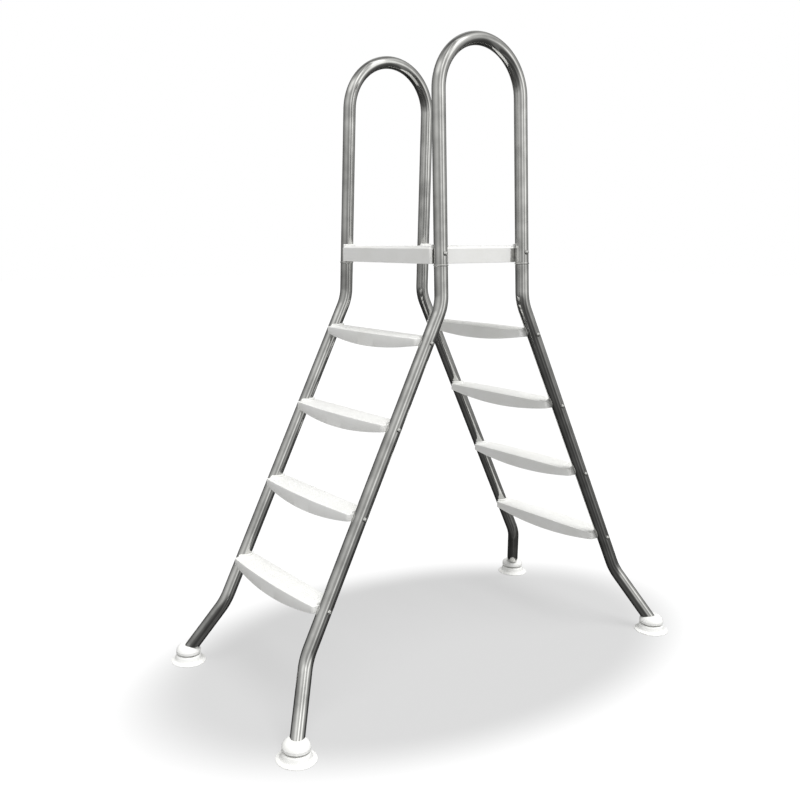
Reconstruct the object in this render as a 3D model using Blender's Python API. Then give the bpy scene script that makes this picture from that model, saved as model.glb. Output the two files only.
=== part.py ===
"""Free-standing pool ladder: two climbing sides joined by two handrail hoops and a platform.

World frame: +X runs from the outer side to the pool side, +Y to the climber's left, +Z up.
The origin is on the ground, midway between the four feet. Units are metres.
"""

import math

import bmesh
import bpy
from mathutils import Vector

# Tube
TUBE_R = 0.0215
TUBE_WALL = 0.0015
TUBE_SIDES = 12
BEND_R = 0.14

# Centreline of one leg, in the quarter where X and Y are positive
HOOP_TOP_Z = 2.040
HOOP_HALF_X = 0.171
UPPER_BEND = Vector((HOOP_HALF_X, 0.2585, 1.217))
LOWER_BEND = Vector((0.662, 0.2557, 0.220))
FOOT_AXIS = Vector((0.7555, 0.3535, 0.0335))
HOOP_LEAN = Vector((0.0, -0.0341, 1.0))
STILE_RUN = (LOWER_BEND - UPPER_BEND) / (UPPER_BEND.z - LOWER_BEND.z)

# Joint between a hoop and a stile
BEAD_Z = 1.3410
BEAD_HALF = 0.0033
BEAD_R = 0.0233
FERRULE_HALF = 0.052
FERRULE_WALL = 0.0025

# Steps
STEP_TOP_Z = 1.1205
STEP_RISE = 0.2515
STEP_COUNT = 4
STEP_HALF = 0.244
STEP_FRONT = 0.043
STEP_REAR = 0.038
STEP_BOW = 0.012
SKIRT_END = 0.022
SKIRT_BOW = 0.022
STEP_CORNER = 0.008
STEP_STATIONS = (0.84, 0.56, 0.28)
BOLT_DROP = 0.0135

# Platform
DECK_BOTTOM = 1.345
DECK_TOP = 1.397
DECK_HALF_X = 0.201
DECK_HALF_Y = 0.239
DECK_CORNER = 0.008
DECK_EDGE = 0.0055
DECK_BOLT_Z = 1.377

# Moulded walls
SHELL = 0.0035
EDGE = 0.003
POCKET_HALF_Y = 0.214
RIB = 0.003
CELLS = 3
DECK_ROOF = SHELL + 0.001
EAR_R = 0.0285
EAR_RISE = 0.007
EAR_ROOT = 0.006
EAR_EDGE = 0.002
EAR_TAPER = 0.93
EAR_INSET = 0.001
BORE_R = 0.0224
BORE_SIDES = 16

# Platform bracket
BRACKET_T = 0.002
BRACKET_IN = 0.036
BRACKET_OUT = 0.0215
BRACKET_R = TUBE_R + 0.0015
BRACKET_TOP = DECK_TOP - 0.007

# Bolts
BOLT_R = 0.004
BOLT_HOLE_R = 0.0046
BOLT_HEAD_R = 0.0075
BOLT_HEAD_H = 0.0055
BOLT_TIP_Y = 0.2195
BOLT_SIDES = 8
STEP_HOLE_DEPTH = 0.020
DECK_HOLE_DEPTH = 0.012
HOLE_FLOOR_Y = BOLT_TIP_Y - 0.0005

# Feet
PIVOT_Z = 0.022
BALL_R = 0.010
SOCKET_R = 0.0108
SOCKET_MOUTH = 40
NECK_R = 0.0055
LIP_R = 0.0585
CAP_R = 0.041
CAP_BOTTOM = 0.030
CAP_BAND = 0.009
CAP_TOP = 0.056
CAP_FLOOR = 0.004
TUBE_END_Z = 0.0395
FOOT_SIDES = 16
SOCKET_RIM_R = 0.012
BELL = ((LIP_R - 0.001, 0.0), (LIP_R, 0.0025), (LIP_R - 0.0055, 0.0042), (0.0478, 0.0115), (0.0395, 0.0245))

# Clearance between neighbours, and how far a cutter runs past what it cuts
GAP = 0.0003
PAST = 0.01
FAR_PAST = 0.06

STEEL = ("stainless_tube", (0.62, 0.62, 0.60), 0.12, 1.0)
BRACKET_STEEL = ("bracket_steel", (0.42, 0.42, 0.41), 0.30, 1.0)
BOLT_STEEL = ("bolt_steel", (0.55, 0.55, 0.54), 0.20, 1.0)
WHITE = ("white_plastic", (0.86, 0.86, 0.84), 0.35, 0.0)
FOOT_WHITE = ("foot_plastic", (0.88, 0.88, 0.86), 0.42, 0.0)

SIDES = {"outer": -1, "pool": 1}
HANDS = {"left": 1, "right": -1}


def material(spec):
    """The Principled BSDF material of this name, made once."""
    name, colour, roughness, metallic = spec
    found = bpy.data.materials.get(name)
    if found:
        return found
    made = bpy.data.materials.new(name)
    made.use_nodes = True
    shader = made.node_tree.nodes["Principled BSDF"]
    shader.inputs["Base Color"].default_value = (*colour, 1.0)
    shader.inputs["Roughness"].default_value = roughness
    shader.inputs["Metallic"].default_value = metallic
    made.diffuse_color = (*colour, 1.0)
    return made


def add_object(name, bm, spec=None, place=(0, 0, 0), smooth=False):
    """The bmesh as an object; without a material it is a hidden tool for a Boolean."""
    bmesh.ops.recalc_face_normals(bm, faces=bm.faces)
    mesh = bpy.data.meshes.new(name)
    bm.to_mesh(mesh)
    bm.free()
    obj = bpy.data.objects.new(name, mesh)
    obj.location = place
    bpy.context.collection.objects.link(obj)
    if spec:
        mesh.materials.append(material(spec))
    else:
        obj.hide_render = True
        obj.display_type = "WIRE"
    if smooth:
        mesh.shade_smooth()
        mesh.set_sharp_from_angle(angle=math.radians(40))
    return obj


def cut(obj, tool, operation="DIFFERENCE"):
    """A Boolean that stays on the object, with the exact solver."""
    modifier = obj.modifiers.new(tool.name, "BOOLEAN")
    modifier.operation = operation
    modifier.solver = "EXACT"
    modifier.object = tool


def skin(bm, rings, closed=False):
    """Quads between rings of the same length, fans where a ring is one point."""
    pairs = list(zip(rings, rings[1:] + rings[:1] if closed else rings[1:]))
    for low, high in pairs:
        count = max(len(low), len(high))
        for i in range(count):
            j = (i + 1) % count
            corners = [low[i % len(low)], low[j % len(low)], high[j % len(high)], high[i % len(high)]]
            bm.faces.new(list(dict.fromkeys(corners)))


def loft(bm, sections):
    """A closed solid through outlines that have the same number of points."""
    rings = [[bm.verts.new(point) for point in section] for section in sections]
    skin(bm, rings)
    bm.faces.new(rings[0])
    bm.faces.new(rings[-1])


def turned(profile, sides, closed=False):
    """A bmesh turned about Z from (radius, height) points; a radius of 0 is a pole."""
    bm = bmesh.new()
    rings = []
    for radius, height in profile:
        if radius == 0:
            rings.append([bm.verts.new((0, 0, height))])
            continue
        angles = [math.tau * i / sides for i in range(sides)]
        rings.append([bm.verts.new((radius * math.cos(a), radius * math.sin(a), height)) for a in angles])
    skin(bm, rings, closed)
    return bm


def arc(centre, radius, start, end, count):
    """Points (radius, height) along an arc, with angles in degrees from the +radius direction."""
    angles = [math.radians(start + (end - start) * i / count) for i in range(count + 1)]
    return [(centre[0] + radius * math.cos(a), centre[1] + radius * math.sin(a)) for a in angles]


def cross_frames(path):
    """Tangent and two cross directions at each point of a path, carried along without twist."""
    runs = [(b - a).normalized() for a, b in zip(path, path[1:])]
    side = Vector((1, 0, 0)) if abs(runs[0].y) > 0.9 else Vector((0, 1, 0))
    for i, point in enumerate(path):
        tangent = (runs[max(i - 1, 0)] + runs[min(i, len(runs) - 1)]).normalized()
        side = (side - tangent * side.dot(tangent)).normalized()
        yield point, tangent, side, tangent.cross(side)


def tube_rings(bm, path, radius, sides, level_end=None):
    """One ring of vertices per path point; the last may be cut level at a height."""
    rings = []
    for point, tangent, side, other in cross_frames(path):
        angles = [math.tau * i / sides for i in range(sides)]
        ring = [point + radius * (math.cos(a) * side + math.sin(a) * other) for a in angles]
        if level_end is not None and point is path[-1]:
            ring = [p + tangent * ((level_end - p.z) / tangent.z) for p in ring]
        rings.append([bm.verts.new(p) for p in ring])
    return rings


def hollow_tube(path, level_end=None):
    """A round tube with its wall, open at both ends."""
    bm = bmesh.new()
    outer = tube_rings(bm, path, TUBE_R, TUBE_SIDES, level_end)
    inner = tube_rings(bm, path, TUBE_R - TUBE_WALL, TUBE_SIDES, level_end)
    skin(bm, outer + inner[::-1], closed=True)
    return bm


def solid_rod(bm, start, end, radius, sides):
    """Adds a closed cylinder between two points."""
    rings = tube_rings(bm, [Vector(start), Vector(end)], radius, sides)
    skin(bm, rings)
    bm.faces.new(rings[0])
    bm.faces.new(rings[-1])


def round_corner(before, corner, after, radius, count):
    """Points on the arc that rounds one corner of a path."""
    back = (before - corner).normalized()
    ahead = (after - corner).normalized()
    half = back.angle(ahead) / 2
    reach = radius / math.tan(half)
    centre = corner + (back + ahead).normalized() * (radius / math.sin(half))
    start = corner + back * reach - centre
    sweep = math.pi - 2 * half
    across = (corner + ahead * reach - centre - start * math.cos(sweep)) / math.sin(sweep)
    return [centre + start * math.cos(sweep * i / count) + across * math.sin(sweep * i / count)
            for i in range(count + 1)]


def mirrored(point, side, hand):
    """A point of the positive quarter moved to another leg."""
    return Vector((point.x * side, point.y * hand, point.z))


def upright_point(z):
    """Centreline of a leg above the upper bend, where it leans in with the hoop."""
    return UPPER_BEND + HOOP_LEAN * (z - UPPER_BEND.z)


def stile_point(z):
    """Centreline of a leg between its two bends."""
    return UPPER_BEND + STILE_RUN * (UPPER_BEND.z - z)


def handrail(hand_name, hand):
    """One hoop: two uprights and a half circle over them."""
    spring_z = HOOP_TOP_Z - HOOP_HALF_X
    points = [upright_point(BEAD_Z + BEAD_HALF + GAP)]
    for i in range(11):
        angle = math.pi * i / 10
        over = upright_point(spring_z + HOOP_HALF_X * math.sin(angle))
        points.append(Vector((HOOP_HALF_X * math.cos(angle), over.y, over.z)))
    points.append(mirrored(points[0], -1, 1))
    path = [mirrored(p, 1, hand) for p in points]
    name = f"handrail_{hand_name}"
    obj = add_object(name, hollow_tube(path), STEEL, smooth=True)
    holes = bmesh.new()
    for side in SIDES.values():
        drill(holes, upright_point(DECK_BOLT_Z), side, hand)
    cut(obj, add_object(f"{name}_drill", holes))


def drill(bm, centre, side, hand):
    """Adds a bolt hole's cutter, across a tube along Y."""
    middle = mirrored(centre, side, hand)
    reach = Vector((0, TUBE_R + PAST, 0))
    solid_rod(bm, middle - reach, middle + reach, BOLT_HOLE_R, BOLT_SIDES)


def stile(side_name, side, hand_name, hand):
    """One bent leg from the hoop joint down to its foot."""
    top = upright_point(BEAD_Z - BEAD_HALF - GAP)
    points = [top]
    points += round_corner(top, UPPER_BEND, LOWER_BEND, BEND_R, 2)
    points += round_corner(UPPER_BEND, LOWER_BEND, FOOT_AXIS, BEND_R, 2)
    points.append(LOWER_BEND + (FOOT_AXIS - LOWER_BEND) * 0.95)
    path = [mirrored(p, side, hand) for p in points]
    name = f"stile_{side_name}_{hand_name}"
    obj = add_object(name, hollow_tube(path, TUBE_END_Z), STEEL, smooth=True)
    holes = bmesh.new()
    for i in range(STEP_COUNT):
        drill(holes, stile_point(step_top(i) - BOLT_DROP), side, hand)
    cut(obj, add_object(f"{name}_drill", holes))


def ferrule(side_name, side, hand_name, hand):
    """Inner sleeve that joins hoop and stile, with the bead that shows between them."""
    outer = TUBE_R - TUBE_WALL - GAP * 2
    inner = outer - FERRULE_WALL
    profile = [(inner, -FERRULE_HALF), (outer, -FERRULE_HALF), (outer, -BEAD_HALF), (BEAD_R, -BEAD_HALF),
               (BEAD_R, BEAD_HALF), (outer, BEAD_HALF), (outer, FERRULE_HALF), (inner, FERRULE_HALF)]
    name = f"joint_ferrule_{side_name}_{hand_name}"
    centre = mirrored(upright_point(BEAD_Z), side, hand)
    obj = add_object(name, turned(profile, TUBE_SIDES, closed=True), STEEL, centre, smooth=True)
    lean = mirrored(HOOP_LEAN, 1, hand)
    obj.rotation_euler = (math.atan2(-lean.y, lean.z), 0, 0)
    holes = bmesh.new()
    drill(holes, upright_point(DECK_BOLT_Z), side, hand)
    cut(obj, add_object(f"{name}_drill", holes))


def bolt(name, centre, side, hand):
    """Domed bolt through a tube along Y, screwed into the moulding inside it."""
    seat = TUBE_R + GAP * 2
    length = centre.y + seat - BOLT_TIP_Y
    dome = arc((0, 0), 1, 0, 90, 2)
    profile = [(0, -length), (BOLT_R, -length), (BOLT_R, 0)]
    profile += [(BOLT_HEAD_R * x, BOLT_HEAD_H * (0.3 + 0.7 * z)) for x, z in dome[:-1]]
    profile.insert(3, (BOLT_HEAD_R, 0))
    profile.append((0, BOLT_HEAD_H))
    place = mirrored(centre + Vector((0, seat, 0)), side, hand)
    obj = add_object(name, turned(profile, BOLT_SIDES), BOLT_STEEL, place, smooth=True)
    obj.rotation_euler = (-hand * math.pi / 2, 0, 0)


def step_top(index):
    return STEP_TOP_Z - STEP_RISE * index


def step_section(y, side, front, rear, top, bottom, edge):
    """Outline of a step across Y; heights are measured from the tread."""
    outline = [(-rear, bottom), (-rear, top - edge), (edge - rear, top), (front - edge, top),
               (front, top - edge), (front, bottom)]
    return [(side * x, y, z) for x, z in outline]


def corner_inset(y):
    """How far the plan outline pulls in close to a step's rounded end."""
    left = STEP_HALF - abs(y)
    if left >= STEP_CORNER:
        return 0.0
    return STEP_CORNER - math.sqrt(STEP_CORNER ** 2 - (STEP_CORNER - left) ** 2)


def step_body(side):
    """Bowed tread with skirts that hang lowest at the middle."""
    inner = [STEP_HALF * part for part in STEP_STATIONS]
    half = [STEP_HALF, STEP_HALF - STEP_CORNER / 2, *inner]
    stations = [-y for y in half] + [0.0] + half[::-1]
    sections = []
    for y in stations:
        swell = 1 - (y / STEP_HALF) ** 2
        inset = corner_inset(y)
        front, rear = STEP_FRONT + STEP_BOW * swell - inset, STEP_REAR - inset
        sections.append(step_section(y, side, front, rear, 0.0, -SKIRT_END - SKIRT_BOW * swell, EDGE))
    bm = bmesh.new()
    loft(bm, sections)
    return bm


def step_pockets(side):
    """The hollow underside: three cells with a rib between each two."""
    bm = bmesh.new()
    width = (2 * POCKET_HALF_Y - (CELLS - 1) * RIB) / CELLS
    for cell in range(CELLS):
        start = -POCKET_HALF_Y + cell * (width + RIB)
        sections = []
        for i in range(3):
            y = start + width * i / 2
            front = STEP_FRONT + STEP_BOW * (1 - (y / STEP_HALF) ** 2) - SHELL
            sections.append(step_section(y, side, front, STEP_REAR - SHELL, -SHELL, -FAR_PAST, EDGE / 2))
        loft(bm, sections)
    return bm


def ear(bm, centre, run, inner_y):
    """Adds the upstand that hugs the inner half of a tube, cut off at the moulding's end."""
    low, high = -EAR_ROOT, EAR_RISE
    hand = math.copysign(1, centre.y)
    stretch = run.length / abs(run.z)
    spread = math.acos((abs(centre.y) - inner_y) / EAR_R)
    angles = [spread * (i / 3 - 1) for i in range(7)]
    plan = [(EAR_R * stretch * math.sin(a), -hand * EAR_R * math.cos(a)) for a in angles]
    sections = []
    for z, shrink in ((low, 1.0), (high - EAR_EDGE, 1.0), (high, EAR_TAPER)):
        middle = centre + run * (z / run.z)
        sections.append([(middle.x + x * shrink, middle.y + y * shrink, middle.z) for x, y in plan])
    loft(bm, sections)


def step(side_name, side, index):
    """A moulded step, saddled onto both tubes of its side."""
    top = step_top(index)
    name = f"step_{side_name}_{index + 1}"
    place = Vector((side * stile_point(top).x, 0, top))
    obj = add_object(name, step_body(side), WHITE, place, smooth=True)
    pockets, ears, bores = step_pockets(side), bmesh.new(), bmesh.new()
    for hand in HANDS.values():
        centre = mirrored(stile_point(top), side, hand)
        run = mirrored(STILE_RUN, side, hand)
        ear(ears, centre - place, run, STEP_HALF - EAR_INSET)
        reach = run * FAR_PAST * 2
        solid_rod(bores, centre - place - reach, centre - place + reach, BORE_R, BORE_SIDES)
        screw = mirrored(stile_point(top - BOLT_DROP), side, hand) - place
        floor = Vector((screw.x, hand * HOLE_FLOOR_Y, screw.z))
        solid_rod(pockets, floor, floor + Vector((0, hand * STEP_HOLE_DEPTH, 0)), BOLT_HOLE_R, BOLT_SIDES)
    cut(obj, add_object(f"{name}_ears", ears, place=place), "UNION")
    cut(obj, add_object(f"{name}_bores", bores, place=place))
    cut(obj, add_object(f"{name}_pockets", pockets, place=place))


def deck_outline(inset):
    """Plan of the platform: a rectangle with small round corners."""
    radius = DECK_CORNER - inset
    points = []
    for quarter, (x, y) in enumerate(((1, 1), (-1, 1), (-1, -1), (1, -1))):
        centre = (x * (DECK_HALF_X - DECK_CORNER), y * (DECK_HALF_Y - DECK_CORNER))
        points += arc(centre, radius, 90 * quarter, 90 * quarter + 90, 3)
    return points


def deck_body():
    """Solid deck, chamfered around its top."""
    bm = bmesh.new()
    levels = ((DECK_BOTTOM, 0.0), (DECK_TOP - DECK_EDGE, 0.0), (DECK_TOP, DECK_EDGE))
    loft(bm, [[(x, y, z) for x, y in deck_outline(inset)] for z, inset in levels])
    return bm


def block(bm, low, high):
    """Adds a box between two opposite corners."""
    (x0, y0, z0), (x1, y1, z1) = low, high
    loft(bm, [[(x0, y0, z), (x1, y0, z), (x1, y1, z), (x0, y1, z)] for z in (z0, z1)])


def deck_pockets():
    """The hollow underside, in cells between ribs."""
    bm = bmesh.new()
    reach = DECK_HALF_X - SHELL
    width = (2 * reach - (CELLS - 1) * RIB) / CELLS
    for cell in range(CELLS):
        x = -reach + cell * (width + RIB)
        block(bm, (x, -POCKET_HALF_Y, DECK_BOTTOM - PAST), (x + width, POCKET_HALF_Y, DECK_TOP - DECK_ROOF))
    return bm


def platform():
    """The moulded deck that the four uprights carry."""
    obj = add_object("platform", deck_body(), WHITE, smooth=True)
    ears, bores, saddles, holes = bmesh.new(), bmesh.new(), bmesh.new(), deck_pockets()
    saddle_r = (BRACKET_R + BRACKET_T + GAP) / math.cos(math.pi / BORE_SIDES)
    for side in SIDES.values():
        for hand in HANDS.values():
            collar = mirrored(upright_point(DECK_TOP), side, hand)
            ear(ears, collar, Vector((0, 0, 1)), DECK_HALF_Y - EAR_INSET)
            solid_rod(bores, mirrored(upright_point(DECK_BOTTOM - PAST * 3), side, hand),
                      mirrored(upright_point(DECK_TOP + PAST * 3), side, hand), BORE_R, BORE_SIDES)
            centre = mirrored(upright_point((DECK_BOTTOM + BRACKET_TOP) / 2), side, hand)
            rise = Vector((0, 0, BRACKET_TOP - centre.z))
            solid_rod(saddles, centre - rise * 2, centre + rise, saddle_r, BORE_SIDES)
            inward, outward = HOOP_HALF_X - BRACKET_IN - GAP, HOOP_HALF_X + BRACKET_OUT + GAP
            corners = sorted((side * inward, side * outward))
            depth = sorted((hand * (DECK_HALF_Y - BRACKET_T - GAP * 2), hand * (DECK_HALF_Y + PAST)))
            block(holes, (corners[0], depth[0], DECK_BOTTOM - PAST), (corners[1], depth[1], BRACKET_TOP))
            screw = mirrored(upright_point(DECK_BOLT_Z), side, hand)
            floor = Vector((screw.x, hand * HOLE_FLOOR_Y, screw.z))
            solid_rod(holes, floor, floor + Vector((0, hand * DECK_HOLE_DEPTH, 0)), BOLT_HOLE_R, BOLT_SIDES)
    cut(obj, add_object("platform_ears", ears), "UNION")
    cut(obj, add_object("platform_bores", bores))
    cut(obj, add_object("platform_saddles", saddles))
    cut(obj, add_object("platform_pockets", holes))


def bracket_plan(centre_y):
    """Plan of a saddle bracket: two flat wings and a half-round middle, for the positive quarter."""
    face = DECK_HALF_Y - GAP

    def band(radius, wing_y):
        reach = math.acos((centre_y - wing_y) / radius)
        angles = [reach * (i / 3 - 1) for i in range(7)]
        return [(radius * math.sin(a), centre_y - radius * math.cos(a)) for a in angles]

    front = [(-BRACKET_IN, face), *band(BRACKET_R, face), (BRACKET_OUT, face)]
    back = [(BRACKET_OUT, face - BRACKET_T), *band(BRACKET_R + BRACKET_T, face - BRACKET_T)[::-1],
            (-BRACKET_IN, face - BRACKET_T)]
    return front + back


def bracket(side_name, side, hand_name, hand):
    """Pressed saddle between an upright and the platform's side."""
    bottom, top = DECK_BOTTOM + GAP, BRACKET_TOP - GAP
    plan = bracket_plan(upright_point((bottom + top) / 2).y)
    bm = bmesh.new()
    loft(bm, [[(side * (HOOP_HALF_X + x), hand * y, z) for x, y in plan] for z in (bottom, top)])
    name = f"platform_bracket_{side_name}_{hand_name}"
    obj = add_object(name, bm, BRACKET_STEEL)
    holes = bmesh.new()
    drill(holes, upright_point(DECK_BOLT_Z), side, hand)
    cut(obj, add_object(f"{name}_drill", holes))


def foot_cap(name, side, hand):
    """Domed cover over the tube's level end, with the ball that the foot base swivels on."""
    floor = TUBE_END_Z - CAP_FLOOR
    band_top = CAP_BOTTOM + CAP_BAND
    neck_angle = math.degrees(math.acos(NECK_R / BALL_R))
    ball = [(0, PIVOT_Z - BALL_R), *arc((0, PIVOT_Z), BALL_R, -90, neck_angle, 5)[1:]]
    hollow = [(NECK_R, floor), (CAP_R * 0.80, floor), (CAP_R - SHELL, CAP_BOTTOM)]
    dome = [(CAP_R * 0.90, band_top + 0.005), (CAP_R * 0.76, band_top + 0.011), (CAP_R * 0.60, CAP_TOP)]
    profile = [*ball, *hollow, (CAP_R, CAP_BOTTOM), (CAP_R, band_top), *dome, (0, CAP_TOP)]
    place = Vector((side * FOOT_AXIS.x, hand * FOOT_AXIS.y, 0))
    obj = add_object(name, turned(profile, FOOT_SIDES), FOOT_WHITE, place, smooth=True)
    tools = bmesh.new()
    down = mirrored(FOOT_AXIS - LOWER_BEND, side, hand).normalized()
    entry = mirrored(FOOT_AXIS, side, hand) - place
    path = [entry - down * FAR_PAST, entry - down * FAR_PAST / 5]
    rings = tube_rings(tools, path, BORE_R, BORE_SIDES, TUBE_END_Z - GAP)
    skin(tools, rings)
    tools.faces.new(rings[0])
    tools.faces.new(rings[-1])
    cut(obj, add_object(f"{name}_bore", tools, place=place))


def foot_base(name, side, hand):
    """Bell with a flat lip; its origin is the ball's centre, on the tilt axis."""
    socket = arc((0, PIVOT_Z), SOCKET_R, SOCKET_MOUTH, -90, 4)
    profile = [(0, 0.0), *BELL, (SOCKET_RIM_R, PIVOT_Z + SOCKET_R * math.sin(math.radians(SOCKET_MOUTH)))]
    profile += [*socket[:-1], (0, PIVOT_Z - SOCKET_R)]
    profile = [(r, z - PIVOT_Z) for r, z in profile]
    place = (side * FOOT_AXIS.x, hand * FOOT_AXIS.y, PIVOT_Z)
    add_object(name, turned(profile, FOOT_SIDES), FOOT_WHITE, place, smooth=True)


def leg(side_name, side, hand_name, hand):
    """Everything on one leg, from the hoop joint to the foot."""
    label = f"{side_name}_{hand_name}"
    stile(side_name, side, hand_name, hand)
    ferrule(side_name, side, hand_name, hand)
    bracket(side_name, side, hand_name, hand)
    bolt(f"platform_bolt_{label}", upright_point(DECK_BOLT_Z), side, hand)
    for index in range(STEP_COUNT):
        centre = stile_point(step_top(index) - BOLT_DROP)
        bolt(f"step_bolt_{side_name}_{index + 1}_{hand_name}", centre, side, hand)
    foot_cap(f"foot_cap_{label}", side, hand)
    foot_base(f"foot_base_{label}", side, hand)


def main():
    for obj in list(bpy.data.objects):
        bpy.data.objects.remove(obj, do_unlink=True)
    platform()
    for hand_name, hand in HANDS.items():
        handrail(hand_name, hand)
    for side_name, side in SIDES.items():
        for index in range(STEP_COUNT):
            step(side_name, side, index)
        for hand_name, hand in HANDS.items():
            leg(side_name, side, hand_name, hand)


main()
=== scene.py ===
"""Looks of the free-standing pool ladder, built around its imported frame.

Polished tubes, moulded steps and platform, saddle brackets, bolts and swivel feet replace the
frame's plain solids one for one. Lengths are in metres.
"""

import math

import bmesh
import bpy
from bpy.props import FloatProperty, FloatVectorProperty, IntProperty
from mathutils import Matrix, Vector


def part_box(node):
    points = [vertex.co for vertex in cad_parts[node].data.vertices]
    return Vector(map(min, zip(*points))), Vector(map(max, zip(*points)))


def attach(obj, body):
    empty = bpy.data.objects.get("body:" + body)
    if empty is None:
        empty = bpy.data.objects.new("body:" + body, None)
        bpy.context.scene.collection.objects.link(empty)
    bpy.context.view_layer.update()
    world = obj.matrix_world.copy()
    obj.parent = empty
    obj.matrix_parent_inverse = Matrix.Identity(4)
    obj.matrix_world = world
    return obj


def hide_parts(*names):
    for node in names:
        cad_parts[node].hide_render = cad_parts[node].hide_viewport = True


bl_info = {
    "name": "Pool Ladder",
    "version": (1, 0, 0),
    "blender": (4, 5, 0),
    "location": "View3D > Sidebar > Ladder",
    "description": "Builds the surfaces of a free-standing pool ladder around its frame",
    "category": "Add Mesh",
}

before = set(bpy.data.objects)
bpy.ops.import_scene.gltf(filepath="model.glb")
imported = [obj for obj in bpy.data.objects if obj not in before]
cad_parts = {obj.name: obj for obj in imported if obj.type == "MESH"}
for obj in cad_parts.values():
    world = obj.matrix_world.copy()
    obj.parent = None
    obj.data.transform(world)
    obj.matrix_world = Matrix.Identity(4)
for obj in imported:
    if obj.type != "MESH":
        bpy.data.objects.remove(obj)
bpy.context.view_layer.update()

SIDES = {"outer": -1, "pool": 1}
HANDS = {"left": 1, "right": -1}
STEPS = range(1, 5)
CELLS = 3
MAIN_BODY = "ladder"

TINY = 1e-6  # distances that count as none
GAP = 0.0003  # clearance between neighbours, as in the frame
PAST = 0.02  # how far a cutter runs past a face
FAR_PAST = 0.12  # half length of a bore's cutter

# Dome of a foot's cap: share of the cap's radius, height above its band
CAP_DOME = ((0.975, 0.0028), (0.945, 0.0056), (0.90, 0.0085), (0.84, 0.0113), (0.765, 0.0140),
            (0.685, 0.0160))
# Wall of a foot's base from the lip's flat brim to the rim under the cap: radius, height
BASE_WALL = ((0.0502, 0.0047), (0.0476, 0.0058), (0.0458, 0.0078), (0.0446, 0.0106), (0.0436, 0.0140),
             (0.0426, 0.0175), (0.0415, 0.0210), (0.0402, 0.0232), (0.0388, 0.0242), (0.0365, 0.0247),
             (0.0140, 0.0286), (0.0105, 0.0290))

# What the steel reflects: share of the way from straight down to straight up, grey
ROOM_HEIGHTS = ((0.0, 0.07), (0.25, 0.08), (0.38, 0.13), (0.46, 0.30), (0.52, 0.47), (0.64, 0.54),
                (0.74, 0.52), (0.82, 0.85), (0.88, 0.85), (0.94, 0.49), (1.0, 0.43))
# and share of the way round, starting and ending at -X, grey
ROOM_PANELS = ((0.0, 0.46), (0.05, 0.50), (0.12, 0.33), (0.17, 0.37), (0.195, 0.78), (0.215, 0.78),
               (0.24, 0.39), (0.29, 0.41), (0.318, 1.0), (0.345, 1.0), (0.37, 0.42), (0.41, 0.35),
               (0.55, 0.16), (0.66, 0.23), (0.72, 0.13), (0.80, 0.13), (0.90, 0.29), (1.0, 0.46))


def length(name, default, description):
    """A length property in metres."""
    return FloatProperty(name=name, default=default, description=description, unit="LENGTH", precision=5)


def place(name, default, description):
    """A position property in metres."""
    return FloatVectorProperty(name=name, default=default, description=description, subtype="TRANSLATION")


def tint(name, default, description):
    """A colour property."""
    return FloatVectorProperty(name=name, default=default, description=description, subtype="COLOR",
                               min=0.0, max=1.0)


class LadderTubeSizes(bpy.types.PropertyGroup):
    """Sizes of the bent tubes, for the quarter where X and Y are positive"""

    radius: length("Tube radius", 0.0215, "Outer radius of every tube")
    bend: length("Bend radius", 0.14, "Centreline radius of the stile bends")
    upper: place("Upper bend", (0.171, 0.2585, 1.217), "Where the upright turns into the slope")
    lower: place("Lower bend", (0.662, 0.2557, 0.220), "Where the slope turns out to the foot")
    foot: place("Foot axis", (0.7555, 0.3535, 0.0335), "Where the leg's axis meets the foot's own axis")
    lean: FloatProperty(name="Hoop lean", default=-0.0341,
                        description="Sideways lean of the uprights, per metre")
    hoop_top: length("Hoop top", 2.040, "Height of the hoop's centreline at its top")
    sides: IntProperty(name="Tube sides", default=56, min=12, description="Faces around a tube")
    bead: length("Bead height", 1.3410, "Height of the bead between hoop and stile")
    bead_half: length("Bead half width", 0.0033, "Half of the bead's width along the tube")
    bead_swell: length("Bead swell", 0.0016, "How far the bead stands out from the tube")
    sleeve_in: length("Sleeve depth", 0.0018, "How far the sleeve lies under the tube's surface")
    sleeve_bore: length("Sleeve bore depth", 0.0046, "How far its bore lies under the tube's surface")
    end: length("Leg end", 0.0395, "Height at which a leg is cut level inside its foot")


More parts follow.
